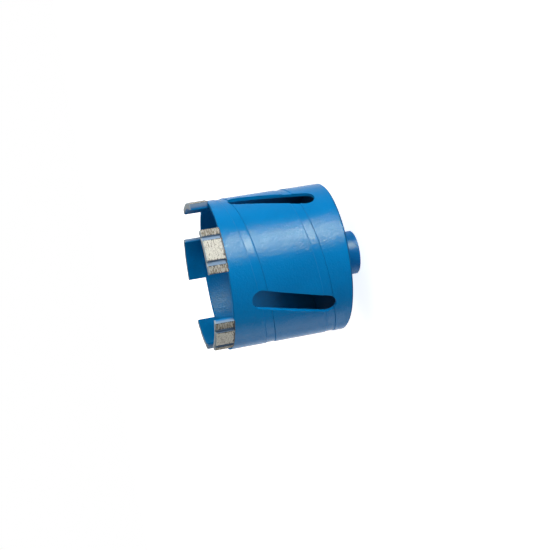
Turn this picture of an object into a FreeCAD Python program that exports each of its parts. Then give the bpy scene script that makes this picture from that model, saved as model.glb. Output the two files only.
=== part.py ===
import FreeCAD, Part
import Sketcher
import math
import os

# Dry diamond core bit, in millimetres.
# It stands on the end of its hub with the open mouth up. +Z runs along the axis towards the
# cutting segments, the origin is the centre of the hub's end face, and segment 1 is on +X.

os.makedirs("parts", exist_ok=True)
doc = FreeCAD.newDocument("core_bit")

# Driving dimensions: name in the sheet, value, what it measures

SIZES = [
    ("cutting_diameter", 82.0, "over the outer faces of the segments"),
    ("outer_clearance", 0.5, "segments outside the barrel's outer face"),
    ("inner_clearance", 1.0, "segments inside the barrel's inner face"),
    ("barrel_wall", 2.0, "thickness of the barrel's wall"),
    ("barrel_length", 64.0, "rear edge to rim"),
    ("rear_chamfer", 1.0, "bevel on the barrel's rear outer edge"),
    ("rim_chamfer", 0.25, "bevel on both edges of the rim"),
    ("slot_count", 4, "slots through the barrel"),
    ("slot_rear_margin", 9.5, "slots to the barrel's rear edge, along the axis"),
    ("slot_rim_margin", 10.1, "slots to the rim, along the axis"),
    ("slot_width", 10.0, "across the slot"),
    ("slot_lean", 15.2, "angle from the axis, in degrees"),
    ("slot_turn", 59.2, "first slot from the first segment, in degrees"),
    ("spiral_pitch", 33.0, "helical groove, one turn"),
    ("spiral_width", 4.8, "helical groove, along the axis"),
    ("spiral_depth", 0.3, "helical groove, into the wall"),
    ("spiral_height", 24.7, "groove above the barrel's rear edge where it crosses +X"),
    ("segment_count", 5, "segments on the rim"),
    ("segment_width", 24.8, "along the outer arc"),
    ("segment_height", 10.0, "rim to cutting face"),
    ("segment_bevel", 0.7, "bevel round the cutting face"),
    ("side_land", 4.3, "narrow land at each side, along the outer arc"),
    ("gullet_width", 2.4, "axial groove, along the outer arc"),
    ("gullet_depth", 1.2, "axial groove, into the outer face"),
    ("plate_thickness", 4.0, "end plate"),
    ("plate_clearance", 0.05, "end plate to barrel, on the radius"),
    ("plate_weld_leg", 1.2, "weld bead between end plate and barrel"),
    ("plate_weld_inset", 0.3, "weld bead inside the barrel's rear edge"),
    ("hub_reach", 14.0, "hub behind the barrel's rear edge"),
    ("hub_shoulder", 2.0, "step from the hub to its spigot, on the radius"),
    ("spigot_wall", 3.0, "spigot round the thread, on the radius"),
    ("hub_clearance", 0.05, "spigot to end plate, on the radius"),
    ("hub_chamfer", 0.5, "bevel on the hub's end"),
    ("hub_weld_leg", 2.5, "weld bead between hub and end plate"),
    ("thread_bore", 14.0, "core diameter of the thread in the hub"),
    ("thread_chamfer", 1.2, "countersink at both ends of the thread"),
]

sizes = doc.addObject("Spreadsheet::Sheet", "sizes")
for row, (alias, value, meaning) in enumerate(SIZES, start=1):
    sizes.set("A%d" % row, alias)
    sizes.set("B%d" % row, str(value))
    sizes.set("C%d" % row, meaning)
    sizes.setAlias("B%d" % row, alias)
doc.recompute()

# Radii and levels that several pieces share, as expressions on the sheet

CUTTING_RADIUS = "(sizes.cutting_diameter / 2)"
GULLET_FLOOR = "(sizes.cutting_diameter / 2 - sizes.gullet_depth)"
BARREL_OUTSIDE = "(sizes.cutting_diameter / 2 - sizes.outer_clearance)"
BARREL_INSIDE = "(" + BARREL_OUTSIDE + " - sizes.barrel_wall)"
SEGMENT_INSIDE = "(" + BARREL_INSIDE + " - sizes.inner_clearance)"
BORE_RADIUS = "(sizes.thread_bore / 2)"
SPIGOT_RADIUS = "(sizes.thread_bore / 2 + sizes.spigot_wall)"
HUB_RADIUS = "(" + SPIGOT_RADIUS + " + sizes.hub_shoulder)"
REAR = "sizes.hub_reach"
RIM = "(sizes.hub_reach + sizes.barrel_length)"
PLATE_REAR = "(sizes.hub_reach + sizes.plate_weld_inset + sizes.plate_weld_leg)"
PLATE_FRONT = "(" + PLATE_REAR + " + sizes.plate_thickness)"


def number(expression):
    """Value of an expression on the sheet."""
    return float(sizes.evalExpression(expression))


# Bodies and sketches


def new_body(name):
    body = doc.addObject("PartDesign::Body", name)
    body.Label = name
    return body


def origin_feature(body, role):
    """One of the body's own origin planes or axes."""
    for feature in body.Origin.OriginFeatures:
        if feature.Role == role:
            return feature
    raise ValueError("no origin feature " + role)


def new_sketch(body, name, plane):
    """Sketch on one of the body's own origin planes."""
    sketch = body.newObject("Sketcher::SketchObject", name)
    sketch.AttachmentSupport = [(origin_feature(body, plane), "")]
    sketch.MapMode = "FlatFace"
    return sketch


def hold_point(sketch, geometry, point, x_expression, y_expression):
    """Fix a point at a driven distance from the sketch's origin."""
    for kind, expression in (("DistanceX", x_expression), ("DistanceY", y_expression)):
        value = number(expression)
        index = sketch.addConstraint(Sketcher.Constraint(kind, -1, 1, geometry, point, value))
        sketch.setExpression("Constraints[%d]" % index, expression)


def hold_radius(sketch, geometry, expression):
    index = sketch.addConstraint(Sketcher.Constraint("Radius", geometry, number(expression)))
    sketch.setExpression("Constraints[%d]" % index, expression)


def arc_between(start, end, radius):
    """Short arc from start to end that turns to the left."""
    chord = end - start
    half = chord.Length / 2
    left = FreeCAD.Vector(-chord.y, chord.x, 0).normalize()
    centre = start + chord * 0.5 + left * math.sqrt(radius * radius - half * half)
    first = math.atan2(start.y - centre.y, start.x - centre.x)
    last = math.atan2(end.y - centre.y, end.x - centre.x)
    return Part.ArcOfCircle(Part.Circle(centre, FreeCAD.Vector(0, 0, 1), radius), first, last)


def draw_outline(sketch, corners):
    """Closed outline through driven corners.

    A corner is (x, y), and a straight line leads on from it, or (x, y, turn, radius), and an
    arc leads on from it that turns "left" or "right" with that radius.
    """
    points = [FreeCAD.Vector(number(corner[0]), number(corner[1]), 0) for corner in corners]
    ends = []
    for index, corner in enumerate(corners):
        start = points[index]
        end = points[(index + 1) % len(corners)]
        if len(corner) == 2:
            sketch.addGeometry(Part.LineSegment(start, end), False)
            ends.append((1, 2))
        elif corner[2] == "left":
            sketch.addGeometry(arc_between(start, end, number(corner[3])), False)
            ends.append((1, 2))
        else:
            sketch.addGeometry(arc_between(end, start, number(corner[3])), False)
            ends.append((2, 1))
    for index, corner in enumerate(corners):
        following = (index + 1) % len(corners)
        sketch.addConstraint(
            Sketcher.Constraint("Coincident", index, ends[index][1], following, ends[following][0])
        )
        hold_point(sketch, index, ends[index][0], corner[0], corner[1])
        if len(corner) == 4:
            hold_radius(sketch, index, corner[3])


def turned_piece(name, corners):
    """Body turned from one closed section of radius and height."""
    body = new_body(name)
    section = new_sketch(body, name + "_section", "XZ_Plane")
    draw_outline(section, corners)
    turned = body.newObject("PartDesign::Revolution", name + "_turned")
    turned.Profile = section
    turned.ReferenceAxis = (origin_feature(body, "Z_Axis"), [""])
    turned.Angle = 360
    return body


# Barrel: turned tube with leaning slots and a shallow right-hand helical groove


def cut_slots(body):
    """One slot through the wall, repeated round the axis.

    The slot's plane holds the axis and faces the slot, so x runs round the barrel and y up it.
    """
    low = "(sizes.hub_reach + sizes.slot_rear_margin + sizes.slot_width / 2)"
    high = "(" + RIM + " - sizes.slot_rim_margin - sizes.slot_width / 2)"
    aside = "(" + high + " - " + low + ") / 2 * tan(sizes.slot_lean)"
    lean = math.radians(number("sizes.slot_lean"))
    radius = number("sizes.slot_width / 2")
    ends = [
        (aside, high, -lean, math.pi - lean),
        ("-" + aside, low, math.pi - lean, 2 * math.pi - lean),
    ]

    sketch = new_sketch(body, "slot_outline", "YZ_Plane")
    sketch.AttachmentOffset = FreeCAD.Placement(
        FreeCAD.Vector(0, 0, 0), FreeCAD.Rotation(FreeCAD.Vector(0, 1, 0), number("sizes.slot_turn"))
    )
    sketch.setExpression("AttachmentOffset.Rotation.Angle", "sizes.slot_turn")
    arcs = []
    for x_expression, y_expression, first, last in ends:
        centre = FreeCAD.Vector(number(x_expression), number(y_expression), 0)
        circle = Part.Circle(centre, FreeCAD.Vector(0, 0, 1), radius)
        arcs.append(Part.ArcOfCircle(circle, first, last))
    sketch.addGeometry(arcs[0], False)
    sketch.addGeometry(Part.LineSegment(arcs[0].EndPoint, arcs[1].StartPoint), False)
    sketch.addGeometry(arcs[1], False)
    sketch.addGeometry(Part.LineSegment(arcs[1].EndPoint, arcs[0].StartPoint), False)
    for index in range(4):
        following = (index + 1) % 4
        sketch.addConstraint(Sketcher.Constraint("Tangent", index, 2, following, 1))
    sketch.addConstraint(Sketcher.Constraint("Equal", 0, 2))
    hold_radius(sketch, 0, "sizes.slot_width / 2")
    for index, (x_expression, y_expression, first, last) in enumerate(ends):
        hold_point(sketch, 2 * index, 3, x_expression, y_expression)

    slot = body.newObject("PartDesign::Pocket", "slot")
    slot.Profile = sketch
    slot.Type = "Length"
    slot.Reversed = True
    slot.setExpression("Length", BARREL_OUTSIDE)
    doc.recompute()

    slots = body.newObject("PartDesign::PolarPattern", "slots")
    slots.Originals = [slot]
    slots.Axis = (origin_feature(body, "Z_Axis"), [""])
    slots.Angle = 360
    slots.setExpression("Occurrences", "sizes.slot_count")
    body.Tip = slots
    doc.recompute()


def cut_spiral(body):
    """Helical groove that runs out at both ends of the barrel."""
    inner = BARREL_OUTSIDE + " - sizes.spiral_depth"
    outer = BARREL_OUTSIDE + " + sizes.spiral_depth"
    turns_below = "ceil((sizes.spiral_height + sizes.spiral_width) / sizes.spiral_pitch)"
    start = "(sizes.hub_reach + sizes.spiral_height - sizes.spiral_pitch * " + turns_below + ")"
    low = start + " - sizes.spiral_width / 2"
    high = start + " + sizes.spiral_width / 2"
    sketch = new_sketch(body, "spiral_section", "XZ_Plane")
    draw_outline(sketch, [(inner, low), (outer, low), (outer, high), (inner, high)])

    spiral = body.newObject("PartDesign::SubtractiveHelix", "spiral")
    spiral.Profile = sketch
    spiral.ReferenceAxis = (origin_feature(body, "Z_Axis"), [""])
    spiral.Mode = "pitch-height-angle"
    spiral.LeftHanded = False
    spiral.setExpression("Pitch", "sizes.spiral_pitch")
    spiral.setExpression("Height", RIM + " + sizes.spiral_width - " + start)
    body.Tip = spiral
    doc.recompute()


def make_barrel():
    inner_lip = BARREL_INSIDE + " + sizes.rim_chamfer"
    outer_lip = BARREL_OUTSIDE + " - sizes.rim_chamfer"
    below_rim = RIM + " - sizes.rim_chamfer"
    body = turned_piece(
        "barrel",
        [
            (BARREL_INSIDE, REAR),
            (BARREL_OUTSIDE + " - sizes.rear_chamfer", REAR),
            (BARREL_OUTSIDE, REAR + " + sizes.rear_chamfer"),
            (BARREL_OUTSIDE, below_rim),
            (outer_lip, RIM),
            (inner_lip, RIM),
            (BARREL_INSIDE, below_rim),
        ],
    )
    doc.recompute()
    cut_slots(body)
    cut_spiral(body)
    return body


# Rear end: end plate, threaded hub and their two weld beads


def make_end_plate():
    hole = SPIGOT_RADIUS + " + sizes.hub_clearance"
    edge = BARREL_INSIDE + " - sizes.plate_clearance"
    return turned_piece(
        "end_plate",
        [(hole, PLATE_REAR), (edge, PLATE_REAR), (edge, PLATE_FRONT), (hole, PLATE_FRONT)],
    )


def make_threaded_hub():
    """Hub with a shoulder that seats on the end plate, bored for the thread."""
    mouth = BORE_RADIUS + " + sizes.thread_chamfer"
    return turned_piece(
        "threaded_hub",
        [
            (mouth, "0"),
            (HUB_RADIUS + " - sizes.hub_chamfer", "0"),
            (HUB_RADIUS, "sizes.hub_chamfer"),
            (HUB_RADIUS, PLATE_REAR),
            (SPIGOT_RADIUS, PLATE_REAR),
            (SPIGOT_RADIUS, PLATE_FRONT),
            (mouth, PLATE_FRONT),
            (BORE_RADIUS, PLATE_FRONT + " - sizes.thread_chamfer"),
            (BORE_RADIUS, "sizes.thread_chamfer"),
        ],
    )


def make_hub_weld():
    """Bead in the corner between the hub and the end plate."""
    leg = "sizes.hub_weld_leg"
    return turned_piece(
        "hub_weld",
        [
            (HUB_RADIUS, PLATE_REAR),
            (HUB_RADIUS, PLATE_REAR + " - " + leg),
            (HUB_RADIUS + " + " + leg, PLATE_REAR),
        ],
    )


def make_plate_weld():
    """Bead in the corner between the end plate and the barrel."""
    leg = "sizes.plate_weld_leg"
    return turned_piece(
        "plate_weld",
        [
            (BARREL_INSIDE, PLATE_REAR),
            (BARREL_INSIDE + " - " + leg, PLATE_REAR),
            (BARREL_INSIDE, PLATE_REAR + " - " + leg),
        ],
    )


# Cutting segments


def polar_corner(radius, angle, turn=None):
    """Corner given by its distance from the axis and its angle; an arc leads on if turn is set."""
    x_expression = radius + " * cos(" + angle + ")"
    y_expression = radius + " * sin(" + angle + ")"
    if turn is None:
        return (x_expression, y_expression)
    return (x_expression, y_expression, turn, radius)


def bevel_cutting_face(body, pad):
    """Bevel the curved edges of the cutting face: the lands outside and the face inside."""
    top = number(RIM + " + sizes.segment_height")
    radii = [number(CUTTING_RADIUS), number(SEGMENT_INSIDE)]
    names = []
    for index, edge in enumerate(pad.Shape.Edges, start=1):
        at_top = abs(edge.BoundBox.ZMin - top) < 1e-6
        curved = isinstance(edge.Curve, Part.Circle)
        if at_top and curved and any(abs(edge.Curve.Radius - radius) < 1e-6 for radius in radii):
            names.append("Edge%d" % index)
    bevel = body.newObject("PartDesign::Chamfer", "cutting_bevel")
    bevel.Base = (pad, names)
    bevel.setExpression("Size", "sizes.segment_bevel")
    body.Tip = bevel
    return bevel


def make_segment(position):
    """Curved block on the rim, with two axial grooves in its outer face."""
    outer_arc = " / " + CUTTING_RADIUS + " * 180 / pi)"
    side = "(sizes.segment_width / 2" + outer_arc
    outer_wall = "((sizes.segment_width / 2 - sizes.side_land)" + outer_arc
    inner_wall = "((sizes.segment_width / 2 - sizes.side_land - sizes.gullet_width)" + outer_arc

    body = new_body("segment_%d" % position)
    plan = new_sketch(body, "segment_%d_plan" % position, "XY_Plane")
    plan.setExpression("AttachmentOffset.Base.z", RIM)
    draw_outline(
        plan,
        [
            polar_corner(CUTTING_RADIUS, "-" + side, "left"),
            polar_corner(CUTTING_RADIUS, "-" + outer_wall),
            polar_corner(GULLET_FLOOR, "-" + outer_wall, "left"),
            polar_corner(GULLET_FLOOR, "-" + inner_wall),
            polar_corner(CUTTING_RADIUS, "-" + inner_wall, "left"),
            polar_corner(CUTTING_RADIUS, inner_wall),
            polar_corner(GULLET_FLOOR, inner_wall, "left"),
            polar_corner(GULLET_FLOOR, outer_wall),
            polar_corner(CUTTING_RADIUS, outer_wall, "left"),
            polar_corner(CUTTING_RADIUS, side),
            polar_corner(SEGMENT_INSIDE, side, "right"),
            polar_corner(SEGMENT_INSIDE, "-" + side),
        ],
    )
    pad = body.newObject("PartDesign::Pad", "segment_%d_block" % position)
    pad.Profile = plan
    pad.setExpression("Length", "sizes.segment_height")
    doc.recompute()
    bevel_cutting_face(body, pad)
    body.Placement = FreeCAD.Placement(
        FreeCAD.Vector(0, 0, 0), FreeCAD.Rotation(FreeCAD.Vector(0, 0, 1), 0)
    )
    body.setExpression(
        "Placement.Rotation.Angle", "360 / sizes.segment_count * %d" % (position - 1)
    )
    return body


# Checks and export


def check_features(body):
    """Every feature is sound, and every cut takes material away."""
    volume = 0.0
    for feature in body.Group:
        if "Invalid" in feature.State or "Error" in feature.State:
            raise RuntimeError(feature.Name + " did not build")
        if not feature.isDerivedFrom("PartDesign::Feature"):
            continue
        removes = any(
            feature.isDerivedFrom("PartDesign::" + kind)
            for kind in ("Pocket", "SubtractiveHelix", "Chamfer", "PolarPattern")
        )
        if removes and feature.Shape.Volume >= volume:
            raise RuntimeError(feature.Name + " took nothing away")
        volume = feature.Shape.Volume


def export_body(body):
    shape = body.Shape
    if shape.isNull() or not shape.isValid() or len(shape.Solids) != 1:
        raise RuntimeError(body.Label + " is not one sound solid")
    shape.exportStep("parts/" + body.Label + ".step")
    print(body.Label, "%.1f mm3" % shape.Volume)


pieces = [
    make_barrel(),
    make_end_plate(),
    make_plate_weld(),
    make_threaded_hub(),
    make_hub_weld(),
]
for position in range(1, int(number("sizes.segment_count")) + 1):
    pieces.append(make_segment(position))
doc.recompute()

for piece in pieces:
    check_features(piece)
    export_body(piece)
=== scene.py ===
"""Dry diamond core bit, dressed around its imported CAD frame.

The bit stands on the end of its hub with the mouth up, and its axis is Z. The barrel and the
segments are modelled flat and rolled round the axis, so that x runs round and y goes inwards.
"""

import math

import bmesh
import bpy
from bpy.props import FloatProperty, FloatVectorProperty, IntProperty, PointerProperty
from bpy.types import Operator, Panel, PropertyGroup
from mathutils import Matrix, Vector
from mathutils.noise import fractal


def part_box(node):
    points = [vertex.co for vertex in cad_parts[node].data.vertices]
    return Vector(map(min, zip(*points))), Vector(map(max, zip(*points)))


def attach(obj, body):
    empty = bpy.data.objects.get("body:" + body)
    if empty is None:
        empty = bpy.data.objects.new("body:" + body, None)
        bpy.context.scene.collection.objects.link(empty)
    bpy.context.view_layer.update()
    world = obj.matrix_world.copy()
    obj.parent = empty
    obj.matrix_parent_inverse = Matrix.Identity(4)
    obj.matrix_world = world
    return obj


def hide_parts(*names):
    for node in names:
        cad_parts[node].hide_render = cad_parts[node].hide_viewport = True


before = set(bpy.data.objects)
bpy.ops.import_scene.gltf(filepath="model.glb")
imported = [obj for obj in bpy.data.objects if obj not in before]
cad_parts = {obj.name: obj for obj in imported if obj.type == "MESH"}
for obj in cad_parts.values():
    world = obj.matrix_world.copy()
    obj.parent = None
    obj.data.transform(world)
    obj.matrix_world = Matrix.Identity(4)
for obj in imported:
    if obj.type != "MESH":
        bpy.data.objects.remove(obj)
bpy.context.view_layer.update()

bl_info = {
    "name": "Diamond core bit",
    "version": (1, 0, 0),
    "blender": (4, 5, 0),
    "location": "View3D > Sidebar > Core bit",
    "description": "Models and dresses a dry diamond core bit around its packed solids",
    "category": "Object",
}

IMAGE_SIZE = 550
VIEW_CENTRE = (273.43, 265.77)  # pixel at which the camera's target lies
MM = 0.001
TINY = 1e-6

SEGMENT_NODES = sorted(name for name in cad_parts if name.startswith("segment_"))
BARREL_LOW, BARREL_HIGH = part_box("barrel")
BARREL_MIDDLE = (BARREL_LOW.z + BARREL_HIGH.z) / 2
PLATE_LOW, PLATE_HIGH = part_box("end_plate")
HUB_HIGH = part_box("threaded_hub")[1]
SEGMENT_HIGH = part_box(SEGMENT_NODES[0])[1]


# Sizes and colours that a user would change


def size(name, description, default):
    """Length in metres, from a default to the nearest hundredth of a millimetre."""
    return FloatProperty(
        name=name, description=description, default=round(default, 5), min=0.0, unit="LENGTH"
    )


def angle(name, description, degrees):
    return FloatProperty(
        name=name, description=description, default=math.radians(degrees), subtype="ANGLE"
    )


def colour(name, description, default):
    return FloatVectorProperty(
        name=name, description=description, default=default, size=3, subtype="COLOR"
    )


class BarrelSizes(PropertyGroup):
    radius: size("Radius", "Outside of the barrel", BARREL_HIGH.x)
    wall: size("Wall", "Thickness of the barrel's wall", 2.0 * MM)
    rear_chamfer: size("Rear bevel", "Bevel on the rear outer edge", 1.0 * MM)
    rim_chamfer: size("Rim bevel", "Bevel on both edges of the rim", 0.25 * MM)
    slot_count: IntProperty(name="Slots", description="Slots through the wall", default=4, min=1)
    slot_turn: angle("First slot", "From the first segment, round the axis", 59.2)
    slot_lean: angle("Slot lean", "From the axis", 15.2)
    slot_width: size("Slot width", "Across a slot", 10.0 * MM)
    slot_rear_margin: size("Rear margin", "Slots to the rear edge", 9.5 * MM)
    slot_rim_margin: size("Rim margin", "Slots to the rim", 10.1 * MM)
    groove_pitch: size("Groove pitch", "Helical groove, one turn", 33.0 * MM)
    groove_width: size("Groove width", "Along the axis", 4.8 * MM)
    groove_depth: size("Groove depth", "Into the wall", 0.3 * MM)
    groove_height: size("Groove height", "Above the rear edge, where it crosses +X", 24.7 * MM)
    edge_round: size("Edge rounding", "Paint-rounded edges of slots and groove", 0.14 * MM)


class SegmentSizes(PropertyGroup):
    radius: size("Radius", "Outer faces of the segments", SEGMENT_HIGH.x)
    width: size("Width", "Along the outer arc", 24.8 * MM)
    thickness: size("Thickness", "Outer face to inner face", 3.5 * MM)
    bevel: size("Cutting bevel", "Bevel round the cutting face", 0.7 * MM)
    side_land: size("Side land", "Narrow land at each side", 4.3 * MM)
    gullet_width: size("Gullet width", "Axial groove, along the outer arc", 2.4 * MM)
    gullet_depth: size("Gullet depth", "Axial groove, into the outer face", 1.2 * MM)
    edge_round: size("Edge rounding", "Rounded edges of the sintered block", 0.12 * MM)
    seam: size("Braze seam", "Thickness of the seam behind a segment", 0.5 * MM)


class HubSizes(PropertyGroup):
    radius: size("Radius", "Outside of the hub", HUB_HIGH.x)
    spigot: size("Spigot radius", "Part of the hub inside the end plate", 10.0 * MM)
    chamfer: size("End bevel", "Bevel on the hub's end", 0.5 * MM)
    bore: size("Thread core", "Radius at the crests of the thread", 7.0 * MM)
    thread: size("Thread radius", "Radius at the roots of the thread", 8.0 * MM)
    pitch: size("Thread pitch", "One turn of the thread", 2.0 * MM)
    countersink: size("Countersink", "Bevel at both ends of the thread", 1.2 * MM)
    weld: size("Hub weld", "Leg of the bead round the hub", 2.5 * MM)
    plate_weld: size("Plate weld", "Leg of the bead round the end plate", 1.2 * MM)


class FinishColours(PropertyGroup):
    paint: colour("Paint", "Blue paint of the barrel and the hub", (0.0, 0.215, 0.56))
    # Painted shade: the colour the paint darkens to far inside the barrel, where little light
    # reaches.
    deep: colour("Deep inside", "Inner wall that the spray hardly reaches", (0.0, 0.025, 0.06))
    metal: colour("Ground metal", "Ground lands of the segments", (0.66, 0.65, 0.58))
    residue: colour("Residue", "Brown streaks on the lands", (0.16, 0.13, 0.09))
    # Pale tint of the segments' paint: partly grinding powder, partly painted sheen.
    dust_and_sheen: colour("Dust", "Grinding dust on the segments' paint", (0.42, 0.47, 0.48))
    steel: colour("Thread steel", "Oiled steel of the thread", (0.3, 0.31, 0.32))


class StageSettings(PropertyGroup):
    floor: colour("Floor", "Plain pale floor", (0.9, 0.9, 0.9))
    distance: size("Camera distance", "From the middle of the view", 562.1 * MM)
    target: size("View height", "Middle of the view above the floor", 46.14 * MM)
    elevation: angle("Elevation", "Camera above the horizon", 12.087)
    turn: angle("Turn", "Camera round the axis", -0.65)
    roll: angle("Roll", "Camera about its own line of sight", 99.746)
    focal: FloatProperty(name="Lens", description="In millimetres", default=67.57, min=1.0)


# Modelling helpers


def activate(piece):
    bpy.ops.object.select_all(action="DESELECT")
    piece.select_set(True)
    bpy.context.view_layer.objects.active = piece


def name_new(name):
    """Name the object that an operator has just added, and settle its place in its mesh."""
    piece = bpy.context.active_object
    piece.name = name
    piece.data.name = name
    bpy.ops.object.transform_apply(location=True, rotation=True, scale=True)
    return piece


def add_box(name, low, high):
    low = Vector(low)
    high = Vector(high)
    bpy.ops.object.select_all(action="DESELECT")
    bpy.ops.mesh.primitive_cube_add(size=1.0, location=(low + high) / 2, scale=high - low)
    return name_new(name)


def add_cylinder(name, radius, low, high, sides):
    bpy.ops.object.select_all(action="DESELECT")
    bpy.ops.mesh.primitive_cylinder_add(
        vertices=sides, radius=radius, depth=high - low, location=(0, 0, (low + high) / 2)
    )
    return name_new(name)


def place(piece, location=(0, 0, 0), rotation=(0, 0, 0)):
    """Turn and move a piece, and settle its place in its mesh."""
    activate(piece)
    piece.location = location
    piece.rotation_euler = rotation
    bpy.ops.object.transform_apply(location=True, rotation=True, scale=True)


def copy_piece(piece, name):
    twin = piece.copy()
    twin.data = piece.data.copy()
    twin.name = name
    twin.data.name = name
    bpy.context.scene.collection.objects.link(twin)
    return twin


def select_parts(piece, kind, chosen):
    """Enter edit mode with the chosen vertices, edges or faces selected."""
    activate(piece)
    bpy.ops.object.mode_set(mode="EDIT")
    bpy.ops.mesh.select_mode(type=kind)
    bpy.ops.mesh.select_all(action="DESELECT")
    mesh = bmesh.from_edit_mesh(piece.data)
    parts = {"VERT": mesh.verts, "EDGE": mesh.edges, "FACE": mesh.faces}[kind]
    for part in parts:
        if chosen(part):
            part.select_set(True)
    mesh.select_flush_mode()
    bmesh.update_edit_mesh(piece.data)


def leave_edit():
    bpy.ops.object.mode_set(mode="OBJECT")


def edge_at(**wanted):
    """Test for an edge whose two ends have the wanted coordinates."""

    def chosen(edge):
        return all(
            abs(getattr(vertex.co, axis) - value) < TINY
            for vertex in edge.verts
            for axis, value in wanted.items()
        )

    return chosen


def bevel(piece, chosen, width, steps=1):
    select_parts(piece, "EDGE", chosen)
    bpy.ops.mesh.bevel(offset=width, segments=steps, affect="EDGES", clamp_overlap=False)
    leave_edit()


def merge_close(piece, distance):
    select_parts(piece, "VERT", lambda vertex: True)
    bpy.ops.mesh.remove_doubles(threshold=distance)
    leave_edit()


def apply_modifier(piece, kind, **settings):
    modifier = piece.modifiers.new(kind.lower(), kind)
    for name, value in settings.items():
        setattr(modifier, name, value)
    activate(piece)
    bpy.ops.object.modifier_apply(modifier=modifier.name)


def cut(piece, cutter):
    """Take the cutter's shape out of the piece."""
    apply_modifier(piece, "BOOLEAN", operation="DIFFERENCE", solver="EXACT", object=cutter)
    bpy.data.objects.remove(cutter)


def settle_order(piece):
    """Renumber a mesh by place, since a Boolean leaves another order in each run."""
    places = [tuple(vertex.co) for vertex in piece.data.vertices]
    order = sorted(range(len(places)), key=places.__getitem__)
    rank = {old: new for new, old in enumerate(order)}
    faces = [[rank[corner] for corner in face.vertices] for face in piece.data.polygons]
    piece.data.clear_geometry()
    piece.data.from_pydata([places[old] for old in order], [], sorted(faces, key=sorted))


def round_edges(piece, width, steps=2, sharpest=40.0):
    apply_modifier(
        piece,
        "BEVEL",
        width=width,
        segments=steps,
        limit_method="ANGLE",
        angle_limit=math.radians(sharpest),
        use_clamp_overlap=False,
    )


def slice_flat(piece, start, end, count, axis):
    """Cut edges across a flat piece at equal steps, so that it can bend."""
    normal = Vector(axis)
    activate(piece)
    bpy.ops.object.mode_set(mode="EDIT")
    for step in range(1, count):
        bpy.ops.mesh.select_all(action="SELECT")
        point = normal * (start + (end - start) * step / count)
        bpy.ops.mesh.bisect(plane_co=point, plane_no=normal, threshold=TINY)
    leave_edit()


def roll(piece, radius, start=0.0):
    """Roll a flat piece round the axis: x runs round and y goes inwards from the radius."""
    for vertex in piece.data.vertices:
        turn = start + vertex.co.x / radius
        reach = radius - vertex.co.y
        vertex.co = (reach * math.cos(turn), reach * math.sin(turn), vertex.co.z)


def finish_shading(piece):
    """Smooth shading that keeps broad faces true and lets the narrow rounded edges turn."""
    activate(piece)
    bpy.ops.object.shade_smooth()
    apply_modifier(piece, "WEIGHTED_NORMAL", mode="FACE_AREA", weight=80, keep_sharp=False)


def dress(piece, slot, *materials):
    """Give a piece its materials and its body; slot is not used."""
    piece.data.materials.clear()
    for material in materials:
        piece.data.materials.append(material)
    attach(piece, "root")


# Material nodes

# Noise by what it makes: scale, detail and roughness. The scale is in waves a metre, and on the
# ground lands, which are laid out in millimetres, in waves a millimetre.
NOISES = {
    "clouds": (55.0, 3.0, 0.5),
    "pimples": (1150.0, 3.0, 0.6),
    "peel": (750.0, 2.0, 0.5),
    "broken line": (180.0, 2.0, 0.5),
    "coarse": (0.8, 2.0, 0.55),
    "grit": (1.8, 2.0, 0.6),
    "streaks": (1.7, 3.0, 0.6),
    "ragged": (1800.0, 2.0, 0.5),
    "flux": (1600.0, 2.0, 0.5),
    "tool marks": (4000.0, 3.0, 0.5),
    "oil stains": (260.0, 3.0, 0.5),
    "floor": (30.0, 2.0, 0.5),
}

CLOUD_TINT = (0.86, 0.9, 0.92, 1.0)
SPECK = (0.0, 0.3, 0.62, 1.0)
NIB = (0.01, 0.06, 0.12, 1.0)
PIT = (0.07, 0.068, 0.06, 1.0)
LAND_BORDER = (0.05, 0.055, 0.055, 1.0)
# Near-black braze colour: painted shadow of the step behind each segment.
SHADOWED_SOLDER = (0.004, 0.012, 0.02, 1.0)
OIL_STAIN = (0.12, 0.11, 0.1, 1.0)
FLOOR_SPOT = (0.88, 0.88, 0.88, 1.0)
SHINE_TINT = (0.92, 1.0, 0.66, 1.0)

# Paints by material: roughness (gloss), specular level (shine), bump (grain), darkening (shade)
PAINTS = {
    "sprayed_blue": {},
    "sprayed_blue_inside": {"gloss": 0.28, "shine": 0.08},
    # The hub's paint is the barrel's paint made darker: painted shade on the hub.
    "sprayed_blue_hub": {"gloss": 0.24, "shine": 0.08, "shade": 0.81},
    "sprayed_blue_weld": {"grain": 2.0, "gloss": 0.34},
}


def set_inputs(tree, node, **inputs):
    """Give inputs a value, or a socket to link from; i2 is input 2, an underscore a space."""
    for name, value in inputs.items():
        key = int(name[1:]) if name[0] == "i" and name[1:].isdigit() else name.replace("_", " ")
        if isinstance(value, bpy.types.NodeSocket):
            tree.links.new(value, node.inputs[key])
        else:
            node.inputs[key].default_value = value


def add_node(tree, kind, settings=None, **inputs):
    node = tree.nodes.new(kind)
    for name, value in (settings or {}).items():
        setattr(node, name, value)
    set_inputs(tree, node, **inputs)
    return node


def opaque(tone):
    return (*tone, 1.0)


def calculate(tree, operation, first, second=0.0, clamp=False):
    settings = {"operation": operation, "use_clamp": clamp}
    return add_node(tree, "ShaderNodeMath", settings, i0=first, i1=second).outputs[0]


def blend_colour(tree, factor, first, second, kind="MIX"):
    settings = {"data_type": "RGBA", "blend_type": kind}
    return add_node(tree, "ShaderNodeMix", settings, i0=factor, i6=first, i7=second).outputs[2]


def blend_value(tree, factor, first, second):
    settings = {"data_type": "FLOAT"}
    return add_node(tree, "ShaderNodeMix", settings, i0=factor, i2=first, i3=second).outputs[0]


def add_bump(tree, height, strength=1.0, distance=0.05 * MM):
    return add_node(
        tree, "ShaderNodeBump", Strength=strength, Distance=distance, Height=height
    ).outputs[0]


def rescale(tree, value, low, high, new_low=0.0, new_high=1.0):
    """Smooth step of a value from one range to another."""
    node = add_node(
        tree, "ShaderNodeMapRange", {"interpolation_type": "SMOOTHSTEP"},
        Value=value, From_Min=low, From_Max=high, To_Min=new_low, To_Max=new_high,
    )
    return node.outputs[0]


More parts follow.
